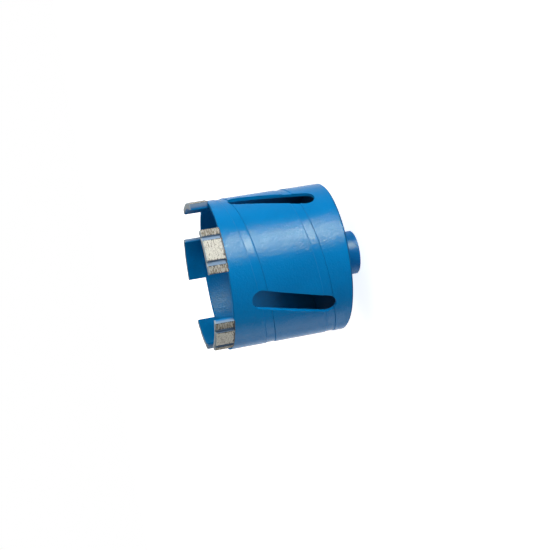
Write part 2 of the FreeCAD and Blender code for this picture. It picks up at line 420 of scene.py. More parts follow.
def noise(tree, vector, name):
    scale, detail, roughness = NOISES[name]
    return add_node(
        tree, "ShaderNodeTexNoise", Vector=vector, Scale=scale, Detail=detail, Roughness=roughness
    ).outputs["Fac"]


def dots(tree, vector, scale, size, uneven):
    """Scattered round dots; size is a share of their spacing, which a texture makes uneven."""
    cells = add_node(tree, "ShaderNodeTexVoronoi", Vector=vector, Scale=scale)
    away = calculate(tree, "ADD", cells.outputs["Distance"],
                     calculate(tree, "MULTIPLY", uneven, 2.0 * size))
    return rescale(tree, away, size * 1.3, size * 1.9, 1.0, 0.0)


def floats(*names):
    return dict.fromkeys(names, "Float")


def start_group(name, inputs, outputs):
    """New node group with named inputs and outputs; returns it with its two end nodes."""
    group = bpy.data.node_groups.new(name, "ShaderNodeTree")
    for way, sockets in (("INPUT", inputs), ("OUTPUT", outputs)):
        for socket, kind in sockets.items():
            group.interface.new_socket(socket, in_out=way, socket_type="NodeSocket" + kind)
    return group, group.nodes.new("NodeGroupInput"), group.nodes.new("NodeGroupOutput")


def use_group(tree, group, **inputs):
    return add_node(tree, "ShaderNodeGroup", {"node_tree": group}, **inputs)


def start_material(name):
    material = bpy.data.materials.new(name)
    material.use_nodes = True
    tree = material.node_tree
    return material, tree, tree.nodes["Principled BSDF"]


def object_vector(tree):
    """Object coordinates, centred on the middle of the barrel."""
    coordinates = add_node(tree, "ShaderNodeTexCoord")
    mapping = add_node(
        tree, "ShaderNodeMapping", Vector=coordinates.outputs["Object"],
        Location=(0, 0, -BARREL_MIDDLE),
    )
    return mapping.outputs[0]


def find_reach(tree, parts):
    """Distance from the axis, from separated coordinates."""
    square = calculate(
        tree, "ADD",
        calculate(tree, "MULTIPLY", parts.outputs[0], parts.outputs[0]),
        calculate(tree, "MULTIPLY", parts.outputs[1], parts.outputs[1]),
    )
    return calculate(tree, "SQRT", square)


def make_paint_group():
    """Sprayed paint: faint clouds in the colour, fine pimples and a soft orange peel."""
    group, start, end = start_group(
        "sprayed_paint",
        {"Vector": "Vector", "Paint": "Color", **floats("Grain", "Gloss")},
        {"Color": "Color", **floats("Roughness", "Height")},
    )
    vector = start.outputs["Vector"]
    clouds = noise(group, vector, "clouds")
    pimples = noise(group, vector, "pimples")
    peel = noise(group, vector, "peel")
    dark = blend_colour(group, 1.0, start.outputs["Paint"], CLOUD_TINT, "MULTIPLY")
    cloudy = blend_colour(group, rescale(group, clouds, 0.3, 0.7), dark, start.outputs["Paint"])
    specks = rescale(group, pimples, 0.62, 0.8, 0.0, 0.12)
    lighter = blend_colour(group, specks, cloudy, SPECK)
    nibs = rescale(group, pimples, 0.3, 0.24, 0.0, 0.5)
    nibbed = blend_colour(group, nibs, lighter, NIB)
    uneven = calculate(group, "MULTIPLY", calculate(group, "SUBTRACT", pimples, 0.5), 0.5)
    rough = calculate(group, "ADD", start.outputs["Gloss"], uneven, clamp=True)
    height = calculate(group, "ADD", calculate(group, "MULTIPLY", pimples, 3.0),
                       calculate(group, "MULTIPLY", peel, 1.2))
    scaled = calculate(group, "MULTIPLY", height, start.outputs["Grain"])
    set_inputs(group, end, Color=nibbed, Roughness=rough, Height=scaled)
    return group


def make_cover_group():
    """Where the spray is matt and dull on the barrel, and where shade is painted in.

    Shade is painted shade, darker the farther the inner wall and the end plate lie below the rim;
    Matt is where the spray dries before it lands, Inside the inner wall, Edge the rim and the
    barrel's rear bevel, and Shadowed painted shade on that bevel at half strength.
    """
    group, start, end = start_group(
        "spray_cover",
        {"Vector": "Vector", **floats("Outer radius", "Inner radius", "Rim", "Plate", "Rear")},
        floats("Deep", "Inside", "Edge", "Matt", "Thin"),
    )
    parts = add_node(group, "ShaderNodeSeparateXYZ", Vector=start.outputs["Vector"])
    height = parts.outputs[2]
    reach = find_reach(group, parts)
    past = calculate(group, "SUBTRACT", reach, start.outputs["Inner radius"])
    inside = rescale(group, past, 0.1 * MM, 0.9 * MM, 1.0, 0.0)
    below = calculate(group, "SUBTRACT", start.outputs["Rim"], height)
    depth = rescale(group, below, 14 * MM, 68 * MM)
    above = calculate(group, "GREATER_THAN", height, start.outputs["Plate"])
    inside = calculate(group, "MULTIPLY", inside, above)
    # Painted shade: darker the farther the inner wall and the end plate lie below the rim.
    deep = calculate(group, "MULTIPLY", inside, depth)
    matt = calculate(group, "MULTIPLY", inside, rescale(group, below, 6 * MM, 22 * MM))

    rim = rescale(group, below, 0.15 * MM, 0.4 * MM, 1.0, 0.0)
    over_rear = calculate(group, "SUBTRACT", height, start.outputs["Rear"])
    within = calculate(group, "SUBTRACT", start.outputs["Outer radius"], reach)
    bevelled = calculate(
        group, "MULTIPLY",
        rescale(group, over_rear, 0.8 * MM, 1.2 * MM, 1.0, 0.0),
        rescale(group, within, 1.2 * MM, 1.8 * MM, 1.0, 0.0),
    )
    edge = calculate(group, "MAXIMUM", rim, bevelled)
    # Painted shade on the rear bevel, half as strong as far inside the barrel.
    shadowed_bevel = calculate(group, "MULTIPLY", bevelled, 0.5)
    set_inputs(group, end, Deep=deep, Inside=inside, Edge=edge, Matt=matt, Thin=shadowed_bevel)
    return group


def make_groove_group():
    """Helical groove by its turn: tool marks and painted shade along its edges, its smoother
    floor.
    """
    group, start, end = start_group(
        "groove_marks",
        {"Vector": "Vector", **floats("Pitch", "Width", "Height")},
        floats("Edges", "Bottom"),
    )
    vector = start.outputs["Vector"]
    parts = add_node(group, "ShaderNodeSeparateXYZ", Vector=vector)
    turn = calculate(group, "ARCTAN2", parts.outputs[1], parts.outputs[0])
    level = calculate(group, "SUBTRACT", parts.outputs[2], start.outputs["Height"])
    turns = calculate(
        group, "SUBTRACT",
        calculate(group, "DIVIDE", level, start.outputs["Pitch"]),
        calculate(group, "DIVIDE", turn, 2 * math.pi),
    )
    wrapped = calculate(group, "FRACT", calculate(group, "ADD", turns, 0.5))
    away = calculate(group, "ABSOLUTE", calculate(group, "SUBTRACT", wrapped, 0.5))
    from_middle = calculate(group, "MULTIPLY", away, start.outputs["Pitch"])
    half = calculate(group, "DIVIDE", start.outputs["Width"], 2.0)
    from_edge = calculate(group, "SUBTRACT", from_middle, half)
    near = calculate(group, "ABSOLUTE", from_edge)
    broken = rescale(group, noise(group, vector, "broken line"), 0.35, 0.5, 0.25, 1.0)
    edges = rescale(group, near, 0.1 * MM, 0.35 * MM, 1.0, 0.0)
    marks = calculate(group, "MULTIPLY", edges, broken)
    bottom = rescale(group, from_edge, -0.6 * MM, -0.2 * MM, 1.0, 0.0)
    set_inputs(group, end, Edges=marks, Bottom=bottom)
    return group


def make_ground_group():
    """Ground sintered metal: pale matrix, dark grit, streaks round the bit and ragged edges.

    The lands are laid out flat in millimetres: x from the segment's middle, y up from the rim.
    """
    group, start, end = start_group(
        "ground_matrix",
        {
            **floats("Across", "Up", "Offset", "Middle land", "Side land", "Half width"),
            "Metal": "Color",
            "Residue": "Color",
        },
        {"Color": "Color", **floats("Roughness", "Height")},
    )
    across = start.outputs["Across"]
    up = start.outputs["Up"]
    place_on = add_node(group, "ShaderNodeCombineXYZ", X=across, Y=up, Z=start.outputs["Offset"])
    flat = place_on.outputs[0]
    along = add_node(group, "ShaderNodeMapping", Vector=flat, Scale=(0.28, 1.25, 1.0)).outputs[0]
    side = calculate(group, "ABSOLUTE", across)
    middle_edge = calculate(group, "SUBTRACT", start.outputs["Middle land"], side)
    side_edge = calculate(
        group, "MINIMUM",
        calculate(group, "SUBTRACT", side, start.outputs["Side land"]),
        calculate(group, "SUBTRACT", start.outputs["Half width"], side),
    )
    edge = calculate(group, "MAXIMUM", middle_edge, side_edge)
    edge = calculate(group, "MINIMUM", edge, up)
    coarse = noise(group, flat, "coarse")
    grit = noise(group, flat, "grit")
    streaks = noise(group, along, "streaks")
    narrow = calculate(group, "GREATER_THAN", side, start.outputs["Side land"])

    shade = calculate(group, "ADD", rescale(group, grit, 0.3, 0.7, 0.84, 1.16),
                      calculate(group, "MULTIPLY", narrow, -0.3))
    shades = add_node(group, "ShaderNodeCombineColor", Red=shade, Green=shade, Blue=shade)
    shaded = blend_colour(group, 1.0, start.outputs["Metal"], shades.outputs[0], "MULTIPLY")
    small = calculate(group, "MULTIPLY", dots(group, flat, 1.2, 0.22, coarse), 0.95)
    large = calculate(group, "MULTIPLY", dots(group, flat, 0.6, 0.18, grit), 0.95)
    pits = calculate(group, "MAXIMUM", small, large)
    pitted = blend_colour(group, pits, shaded, PIT)
    worn = calculate(group, "ADD", streaks, calculate(group, "MULTIPLY", narrow, 0.1))
    stains = rescale(group, worn, 0.56, 0.66, 0.0, 0.85)
    stained = blend_colour(group, stains, pitted, start.outputs["Residue"])
    teeth = calculate(group, "SUBTRACT", calculate(group, "MULTIPLY", streaks, 2.8), 0.85)
    border = rescale(group, calculate(group, "SUBTRACT", edge, teeth), -0.3, 0.05, 0.9, 0.0)
    bordered = blend_colour(group, border, stained, LAND_BORDER)
    rough = rescale(group, grit, 0.2, 0.8, 0.4, 0.62)
    height = calculate(group, "SUBTRACT", grit, pits)
    set_inputs(group, end, Color=bordered, Roughness=rough, Height=height)
    return group


def make_paint(name, colours, groups, sizes, grain=1.0, gloss=0.13, shine=0.05, shade=1.0):
    """Blue paint; gloss is its roughness, shine its specular level and shade darkens it."""
    material, tree, shader = start_material(name)
    vector = object_vector(tree)
    cover = use_group(
        tree, groups["cover"], Vector=vector, Outer_radius=sizes.radius,
        Inner_radius=sizes.radius - sizes.wall, Rim=BARREL_HIGH.z - BARREL_MIDDLE,
        Plate=PLATE_HIGH.z - MM - BARREL_MIDDLE, Rear=BARREL_LOW.z - BARREL_MIDDLE,
    )
    groove = use_group(
        tree, groups["groove"], Vector=vector, Pitch=sizes.groove_pitch,
        Width=sizes.groove_width, Height=BARREL_LOW.z + sizes.groove_height - BARREL_MIDDLE,
    )
    outside = calculate(tree, "SUBTRACT", 1.0, cover.outputs["Inside"])
    marks = calculate(tree, "MULTIPLY", groove.outputs["Edges"], outside)
    smooth = calculate(tree, "MULTIPLY", groove.outputs["Bottom"], outside)
    rougher = calculate(tree, "SUBTRACT", 1.0, calculate(tree, "MULTIPLY", smooth, 0.35))
    paint = use_group(
        tree, groups["paint"], Vector=vector,
        Paint=opaque(shade * part for part in colours.paint),
        Grain=calculate(tree, "MULTIPLY", rougher, grain), Gloss=gloss,
    )
    dull = calculate(tree, "MAXIMUM", cover.outputs["Edge"], marks)
    dull = calculate(tree, "MAXIMUM", dull, cover.outputs["Matt"])
    dulled = blend_value(tree, dull, paint.outputs["Roughness"], 0.7)
    # Painted shade: the paint darkens a little along the groove's edges; the marks' dulling is
    # roughness.
    groove_shaded = blend_colour(tree, calculate(tree, "MULTIPLY", marks, 0.1),
                          paint.outputs["Color"], opaque(colours.deep))
    # Painted shade far inside the barrel and on half its rear bevel, mixed towards the shade
    # colour.
    painted_shade = calculate(tree, "MAXIMUM", cover.outputs["Deep"], cover.outputs["Thin"])
    sprayed = blend_colour(tree, painted_shade, groove_shaded, opaque(colours.deep))
    set_inputs(
        tree, shader, Base_Color=sprayed, Roughness=dulled,
        Normal=add_bump(tree, paint.outputs["Height"]),
        Specular_IOR_Level=shine, Specular_Tint=SHINE_TINT,
    )
    return material


def make_segment_finish(colours, groups, sizes):
    """Paint all over, paled outside by grinding powder and painted sheen; outer lands ground bare.
    """
    material, tree, shader = start_material("segment_finish")
    vector = object_vector(tree)
    paint = use_group(tree, groups["paint"], Vector=vector, Paint=opaque(colours.paint),
                      Grain=1.5, Gloss=0.4)
    half = sizes.width / MM / 2
    side = half - sizes.side_land / MM
    flat = add_node(tree, "ShaderNodeUVMap", {"uv_map": "flat"})
    laid = add_node(tree, "ShaderNodeSeparateXYZ", Vector=flat.outputs[0])
    number = calculate(tree, "FLOOR", laid.outputs[0])
    across = calculate(tree, "SUBTRACT", calculate(tree, "FRACT", laid.outputs[0]), 0.5)
    ground = use_group(
        tree, groups["ground"],
        Across=calculate(tree, "MULTIPLY", across, 2 * half),
        Up=calculate(tree, "MULTIPLY", laid.outputs[1], (SEGMENT_HIGH.z - BARREL_HIGH.z) / MM),
        Offset=calculate(tree, "MULTIPLY", number, 37.0),
        Middle_land=side - sizes.gullet_width / MM, Side_land=side, Half_width=half,
        Metal=opaque(colours.metal), Residue=opaque(colours.residue),
    )
    reach = find_reach(tree, add_node(tree, "ShaderNodeSeparateXYZ", Vector=vector))
    # Partly grinding powder, partly painted sheen: paler paint near the outer faces and the
    # cutting face.
    outer = rescale(tree, reach, sizes.radius - 3.2 * MM, sizes.radius - 1.0 * MM, 0.0, 0.58)
    face = rescale(tree, laid.outputs[1], 0.86, 0.97, 0.0, 0.88)
    off_inside = rescale(tree, reach, sizes.radius - 3.4 * MM, sizes.radius - 2.8 * MM)
    dust_and_sheen = calculate(tree, "MAXIMUM", outer, calculate(tree, "MULTIPLY", face, off_inside))
    pale_tinted = blend_colour(tree, dust_and_sheen, paint.outputs["Color"], opaque(colours.dust_and_sheen))
    ragged = calculate(tree, "MULTIPLY", noise(tree, vector, "ragged"), 0.1 * MM)
    level = calculate(tree, "ADD", reach, ragged)
    bare = rescale(tree, level, sizes.radius - 0.08 * MM, sizes.radius + 0.02 * MM)
    colour_out = blend_colour(tree, bare, pale_tinted, ground.outputs["Color"])
    rough, height = (
        blend_value(tree, bare, paint.outputs[name], ground.outputs[name])
        for name in ("Roughness", "Height")
    )
    set_inputs(
        tree, shader, Base_Color=colour_out, Roughness=rough,
        Normal=add_bump(tree, height, strength=0.8), Specular_IOR_Level=0.04,
    )
    return material


def make_braze(colours):
    """Dull silver solder with flux specks, coloured near-black as painted shadow of its step."""
    material, tree, shader = start_material("braze")
    vector = object_vector(tree)
    flux = noise(tree, vector, "flux")
    specks = rescale(tree, flux, 0.6, 0.75)
    set_inputs(
        tree, shader, Base_Color=blend_colour(tree, specks, SHADOWED_SOLDER, opaque(colours.residue)),
        Roughness=rescale(tree, flux, 0.3, 0.7, 0.5, 0.8), Normal=add_bump(tree, flux),
    )
    return material


def make_thread_steel(colours):
    """Oiled steel with tool marks round the bore."""
    material, tree, shader = start_material("thread_steel")
    vector = object_vector(tree)
    stretched = add_node(tree, "ShaderNodeMapping", Vector=vector, Scale=(0.15, 0.15, 1.0))
    marks = noise(tree, stretched.outputs[0], "tool marks")
    stains = rescale(tree, noise(tree, vector, "oil stains"), 0.35, 0.7)
    set_inputs(
        tree, shader, Base_Color=blend_colour(tree, stains, opaque(colours.steel), OIL_STAIN),
        Roughness=rescale(tree, marks, 0.3, 0.7, 0.3, 0.5),
        Normal=add_bump(tree, marks, strength=0.3, distance=0.03 * MM), Metallic=0.9,
    )
    return material


def show_white(tree):
    """Mask of the rays that see the background as white: camera, mirrored and transmitted."""
    rays = add_node(tree, "ShaderNodeLightPath").outputs
    straight = calculate(tree, "ADD", rays["Is Camera Ray"], rays["Is Glossy Ray"])
    return calculate(tree, "ADD", straight, rays["Is Transmission Ray"], clamp=True)


def make_floor_finish(colours):
    """Pale floor that the camera sees as white and that keeps the object's shadow."""
    material, tree, shader = start_material("floor_white")
    vector = object_vector(tree)
    distance = add_node(tree, "ShaderNodeVectorMath", {"operation": "LENGTH"}, i0=vector)
    level = rescale(tree, distance.outputs["Value"], 0.1, 0.5, 0.84, 1.0)
    glow = calculate(tree, "MULTIPLY", show_white(tree), level)
    spots = rescale(tree, noise(tree, vector, "floor"), 0.3, 0.7)
    set_inputs(
        tree, shader, Base_Color=blend_colour(tree, spots, opaque(colours.floor), FLOOR_SPOT),
        Roughness=0.9, Specular_IOR_Level=0.0,
        Emission_Color=(1, 1, 1, 1), Emission_Strength=glow,
    )
    under = add_node(tree, "ShaderNodeNewGeometry").outputs["Backfacing"]
    clear = add_node(tree, "ShaderNodeBsdfTransparent").outputs[0]
    both = add_node(tree, "ShaderNodeMixShader", Fac=under, i1=shader.outputs[0], i2=clear)
    tree.links.new(both.outputs[0], tree.nodes["Material Output"].inputs["Surface"])
    return material


def get_materials(scene):
    """Materials of the part, made once and shared by its pieces."""
    if "sprayed_blue" not in bpy.data.materials:
        colours = scene.corebit_finish
        barrel = scene.corebit_barrel
        groups = {
            "paint": make_paint_group(),
            "cover": make_cover_group(),
            "groove": make_groove_group(),
            "ground": make_ground_group(),
        }
        for name, look in PAINTS.items():
            make_paint(name, colours, groups, barrel, **look)
        make_segment_finish(colours, groups, scene.corebit_segments)
        make_thread_steel(colours)
        make_braze(colours)
    return bpy.data.materials


# Pieces


class COREBIT_OT_barrel(Operator):
    """Cut the slots and the helical groove in a flat plate and roll it into the barrel"""

    bl_idname = "corebit.barrel"
    bl_label = "Barrel"

    SLICES = 240
    SLOT_SIDES = 48
    SLOT_REACH = 0.5
    CUT_MERGE = 0.02 * MM
    JOINT_MERGE = 0.005 * MM

    def cut_slots(self, plate, sizes, low, high):
        bottom = low + sizes.slot_rear_margin + sizes.slot_width / 2
        top = high - sizes.slot_rim_margin - sizes.slot_width / 2
        straight = (top - bottom) / math.cos(sizes.slot_lean)
        for index in range(sizes.slot_count):
            cutter = add_cylinder(
                "slot_cutter", sizes.slot_width / 2, -self.SLOT_REACH, self.SLOT_REACH,
                self.SLOT_SIDES,
            )
            place(cutter, rotation=(math.pi / 2, math.pi / self.SLOT_SIDES, 0))
            select_parts(cutter, "VERT", lambda vertex: vertex.co.z > 0)
            bpy.ops.transform.translate(value=(0, 0, straight))
            leave_edit()
            place(cutter, location=(0, 0, -straight / 2))
            turn = sizes.slot_turn + 2 * math.pi * index / sizes.slot_count
            middle = (turn * sizes.radius, 0, (bottom + top) / 2)
            place(cutter, location=middle, rotation=(0, sizes.slot_lean, 0))
            cut(plate, cutter)

    def cut_groove(self, plate, sizes, around, low, high):
        lead = math.atan2(sizes.groove_pitch, around)
        half = sizes.groove_width * math.cos(lead) / 2
        turns = math.ceil((high - low) / sizes.groove_pitch)
        for index in range(-turns, turns + 1):
            start = low + sizes.groove_height + sizes.groove_pitch * index
            if start + sizes.groove_pitch + half < low or start - half > high:
                continue
            corner = Vector((around * 0.55, sizes.groove_depth, half))
            cutter = add_box("groove_cutter", -corner, corner)
            middle = (around / 2, 0, start + sizes.groove_pitch / 2)
            place(cutter, location=middle, rotation=(0, -lead, 0))
            cut(plate, cutter)

    def execute(self, context):
        sizes = context.scene.corebit_barrel
        materials = get_materials(context.scene)
        around = 2 * math.pi * sizes.radius
        low = BARREL_LOW.z
        high = BARREL_HIGH.z
        barrel = add_box("barrel_shell", (0, 0, low), (around, sizes.wall, high))
        bevel(barrel, edge_at(y=0, z=low), sizes.rear_chamfer)
        bevel(barrel, edge_at(y=0, z=high), sizes.rim_chamfer)
        bevel(barrel, edge_at(y=sizes.wall, z=high), sizes.rim_chamfer)
        self.cut_slots(barrel, sizes, low, high)
        self.cut_groove(barrel, sizes, around, low, high)
        merge_close(barrel, self.CUT_MERGE)

        def at_seam(face):
            ends = [vertex.co.x for vertex in face.verts]
            return max(ends) < TINY or min(ends) > around - TINY

        select_parts(barrel, "FACE", at_seam)
        bpy.ops.mesh.delete(type="FACE")
        leave_edit()
        round_edges(barrel, sizes.edge_round)
        slice_flat(barrel, 0, around, self.SLICES, (1, 0, 0))
        roll(barrel, sizes.radius)
        merge_close(barrel, self.JOINT_MERGE)
        finish_shading(barrel)
        dress(barrel, "blue_paint", materials["sprayed_blue"], materials["sprayed_blue_inside"])
        inside = sizes.radius - sizes.wall + 0.1 * MM
        for face in barrel.data.polygons:
            if math.hypot(face.center.x, face.center.y) < inside:
                face.material_index = 1
        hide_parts("barrel")
        return {"FINISHED"}


class COREBIT_OT_segments(Operator):
    """Model one segment flat, roll it and copy it round the rim, with its braze seam"""

    bl_idname = "corebit.segments"
    bl_label = "Segments"

    SLICES = 26
    SEAM_SLICES = 50
    SEAM_END = 0.3 * MM
    SEAM_LIFT = 0.1 * MM
    SEAM_RAGGED = 0.3 * MM
    SEAM_HOLLOW = 0.15 * MM
    FLAT_SHARE = 0.999

    def lay_seams(self, sizes, materials, low):
        """Uneven fillet of braze on the barrel behind each segment."""
        half = sizes.width / 2 - self.SEAM_END
        step = sizes.radius - BARREL_HIGH.x
        foot = low - sizes.seam
        bar = add_box(
            "braze_bar", (-half, self.SEAM_LIFT, foot), (half, step + self.SEAM_LIFT, low)
        )
        bevel(bar, edge_at(y=self.SEAM_LIFT, z=foot), sizes.seam * 0.9, 3)
        slice_flat(bar, -half, half, self.SEAM_SLICES, (1, 0, 0))
        for vertex in bar.data.vertices:
            spread = min(1.0, (low - vertex.co.z) / sizes.seam)
            uneven = fractal(Vector((vertex.co.x / MM, 0, 5.0)), 1.0, 2.0, 3)
            vertex.co.z += spread * uneven * self.SEAM_RAGGED
            vertex.co.y += self.SEAM_HOLLOW * abs(uneven) * (vertex.co.y < step)
        roll(bar, sizes.radius)
        for position, node in enumerate(SEGMENT_NODES):
            seam = copy_piece(bar, node + "_braze")
            place(seam, rotation=(0, 0, 2 * math.pi * position / len(SEGMENT_NODES)))
            finish_shading(seam)
            dress(seam, "segment_metal", materials["braze"])
        bpy.data.objects.remove(bar)

    def execute(self, context):
        sizes = context.scene.corebit_segments
        materials = get_materials(context.scene)
        low = BARREL_HIGH.z
        high = SEGMENT_HIGH.z
        half = sizes.width / 2
        block = add_box("segment_block", (-half, 0, low), (half, sizes.thickness, high))
        bevel(block, edge_at(y=0, z=high), sizes.bevel, 2)
        bevel(block, edge_at(y=sizes.thickness, z=high), sizes.bevel, 2)
        for side in (-1, 1):
            middle = side * (half - sizes.side_land - sizes.gullet_width / 2)
            cutter = add_box(
                "gullet_cutter",
                (middle - sizes.gullet_width / 2, -sizes.gullet_depth, low - MM),
                (middle + sizes.gullet_width / 2, sizes.gullet_depth, high + MM),
            )
            cut(block, cutter)
        round_edges(block, sizes.edge_round)
        slice_flat(block, -half, half, self.SLICES, (1, 0, 0))
        flat = [
            (0.5 + self.FLAT_SHARE * vertex.co.x / sizes.width, (vertex.co.z - low) / (high - low))
            for vertex in block.data.vertices
        ]
        roll(block, sizes.radius)
        for position, node in enumerate(SEGMENT_NODES):
            segment = copy_piece(block, node + "_ground")
            layer = segment.data.uv_layers.new(name="flat")
            for loop in segment.data.loops:
                across, up = flat[loop.vertex_index]
                layer.data[loop.index].uv = (across + position, up)
            place(segment, rotation=(0, 0, 2 * math.pi * position / len(SEGMENT_NODES)))
            finish_shading(segment)
            dress(segment, "segment_metal", materials["segment_finish"])
            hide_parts(node)
        bpy.data.objects.remove(block)
        self.lay_seams(sizes, materials, low)
        return {"FINISHED"}


class COREBIT_OT_hub(Operator):
    """Turn the hub, bore it and cut its thread"""

    bl_idname = "corebit.hub"
    bl_label = "Threaded hub"

    SIDES = 96
    THREAD_STEPS = 48
    FLANK = math.radians(30)
    SMOOTH_ANGLE = math.radians(35)

    def bore(self, hub, sizes, top):
        """Cutter with a flared end below and above, so that both ends are countersunk."""
        flare = (sizes.bore + sizes.countersink) / sizes.bore
        cutter = add_cylinder(
            "bore_cutter", sizes.bore, sizes.countersink, top - sizes.countersink, self.SIDES
        )
        for level, way in ((sizes.countersink, -1), (top - sizes.countersink, 1)):
            select_parts(
                cutter, "FACE",
                lambda face: all(abs(vertex.co.z - level) < TINY for vertex in face.verts),
            )
            for rise, widen in ((sizes.countersink, flare), (MM, 1.0)):
                bpy.ops.mesh.extrude_region_move(
                    TRANSFORM_OT_translate={"value": (0, 0, way * rise)}
                )
                bpy.ops.transform.resize(value=(widen, widen, 1))
            leave_edit()
        cut(hub, cutter)

    def cut_thread(self, hub, sizes, top):
        """Helical cutter with sixty degree flanks, swept with the Screw modifier."""
        inner = sizes.bore - 0.2 * MM
        root = sizes.pitch / 16
        mouth = root + (sizes.thread - inner) * math.tan(self.FLANK)
        cutter = add_box("thread_cutter", (inner, 0, -mouth), (sizes.thread, MM, mouth))
        select_parts(cutter, "FACE", lambda face: abs(face.normal.y - 1) > 0.01)
        bpy.ops.mesh.delete(type="FACE")
        leave_edit()
        select_parts(cutter, "VERT", lambda vertex: vertex.co.x > sizes.thread - TINY)
        bpy.ops.transform.resize(value=(1, 1, root / mouth), center_override=(0, 0, 0))
        leave_edit()
        select_parts(cutter, "FACE", lambda face: True)
        bpy.ops.mesh.delete(type="ONLY_FACE")
        leave_edit()
        place(cutter, location=(0, -MM, -2 * sizes.pitch))
        turns = math.ceil(top / sizes.pitch) + 4
        apply_modifier(
            cutter, "SCREW", axis="Z", angle=2 * math.pi, screw_offset=sizes.pitch,
            iterations=turns, steps=self.THREAD_STEPS, render_steps=self.THREAD_STEPS,
        )
        select_parts(cutter, "EDGE", lambda edge: edge.is_boundary)
        bpy.ops.mesh.edge_face_add()
        leave_edit()
        select_parts(cutter, "FACE", lambda face: True)
        bpy.ops.mesh.normals_make_consistent(inside=False)
        leave_edit()
        cut(hub, cutter)

    def execute(self, context):
        sizes = context.scene.corebit_hub
        materials = get_materials(context.scene)
        seat = PLATE_LOW.z
        top = HUB_HIGH.z
        hub = add_cylinder("hub_body", sizes.radius, 0, seat, self.SIDES)
        select_parts(
            hub, "FACE", lambda face: all(abs(vertex.co.z - seat) < TINY for vertex in face.verts)
        )
        bpy.ops.mesh.inset(thickness=sizes.radius - sizes.spigot, use_even_offset=False)
        bpy.ops.mesh.extrude_region_move(TRANSFORM_OT_translate={"value": (0, 0, top - seat)})
        leave_edit()
        bevel(hub, edge_at(z=0), sizes.chamfer)
        self.bore(hub, sizes, top)
        self.cut_thread(hub, sizes, top)
        settle_order(hub)
        activate(hub)
        bpy.ops.object.shade_smooth_by_angle(angle=self.SMOOTH_ANGLE)
        dress(hub, "blue_paint", materials["sprayed_blue_hub"], materials["thread_steel"])
        bare = sizes.bore + sizes.countersink + 0.05 * MM
        for face in hub.data.polygons:
            if math.hypot(face.center.x, face.center.y) < bare and abs(face.normal.z) < 0.99:
                face.material_index = 1
        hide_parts("threaded_hub")
        return {"FINISHED"}


class COREBIT_OT_rear(Operator):
    """Dress the end plate and lay the two rippled weld beads"""

    bl_idname = "corebit.rear"
    bl_label = "End plate and welds"

    HUB_RIPPLES = 44
    PLATE_RIPPLES = 150
    RIPPLE_SIDES = 6
    RIPPLE_DEPTH = 0.16
    RIPPLE_SLANT = 1.2

    def lay_bead(self, name, corner_radius, outwards, leg, ripples):
        """Bead of overlapping ripples in the corner under the end plate."""
        sides = ripples * self.RIPPLE_SIDES
        inner = corner_radius - (0 if outwards else leg)
        outer = corner_radius + (leg if outwards else 0)
        level = PLATE_LOW.z
        bead = add_cylinder(name, outer, level - leg, level, sides)
        cut(bead, add_cylinder("bead_hole", inner, level - 2 * leg, level + leg, sides))
        corner = (outer if outwards else inner, level - leg)
        slope = edge_at(z=level - leg)

        def open_edge(edge):
            reach = math.hypot(*edge.verts[0].co.xy)
            return slope(edge) and abs(reach - corner[0]) < 0.1 * MM

        bevel(bead, open_edge, leg * 0.92, 5)
        for vertex in bead.data.vertices:
            reach = math.hypot(vertex.co.x, vertex.co.y)
            turn = math.atan2(vertex.co.y, vertex.co.x)
            away = min(1.0, max(0.0, (level - vertex.co.z) / leg))
            out = min(1.0, abs(reach - corner_radius) / leg)
            wave = 0.5 + 0.5 * math.cos(ripples * turn + self.RIPPLE_SLANT * (out - away))
            shrink = 1 - self.RIPPLE_DEPTH * wave * min(1.0, 4 * out * away)
            new_reach = corner_radius + (reach - corner_radius) * shrink
            vertex.co.x *= new_reach / reach
            vertex.co.y *= new_reach / reach
            vertex.co.z = level - (level - vertex.co.z) * shrink
        finish_shading(bead)
        return bead

    def execute(self, context):
        hub = context.scene.corebit_hub
        barrel = context.scene.corebit_barrel
        materials = get_materials(context.scene)
        hub_bead = self.lay_bead("hub_bead", hub.radius, True, hub.weld, self.HUB_RIPPLES)
        dress(hub_bead, "blue_paint", materials["sprayed_blue_weld"])
        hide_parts("hub_weld")
        plate_bead = self.lay_bead(
            "plate_bead", barrel.radius - barrel.wall, False, hub.plate_weld, self.PLATE_RIPPLES
        )
        dress(plate_bead, "blue_paint", materials["sprayed_blue_weld"])
        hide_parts("plate_weld")
        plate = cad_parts["end_plate"]
        plate.data.materials.clear()
        plate.data.materials.append(materials["sprayed_blue"])
        return {"FINISHED"}


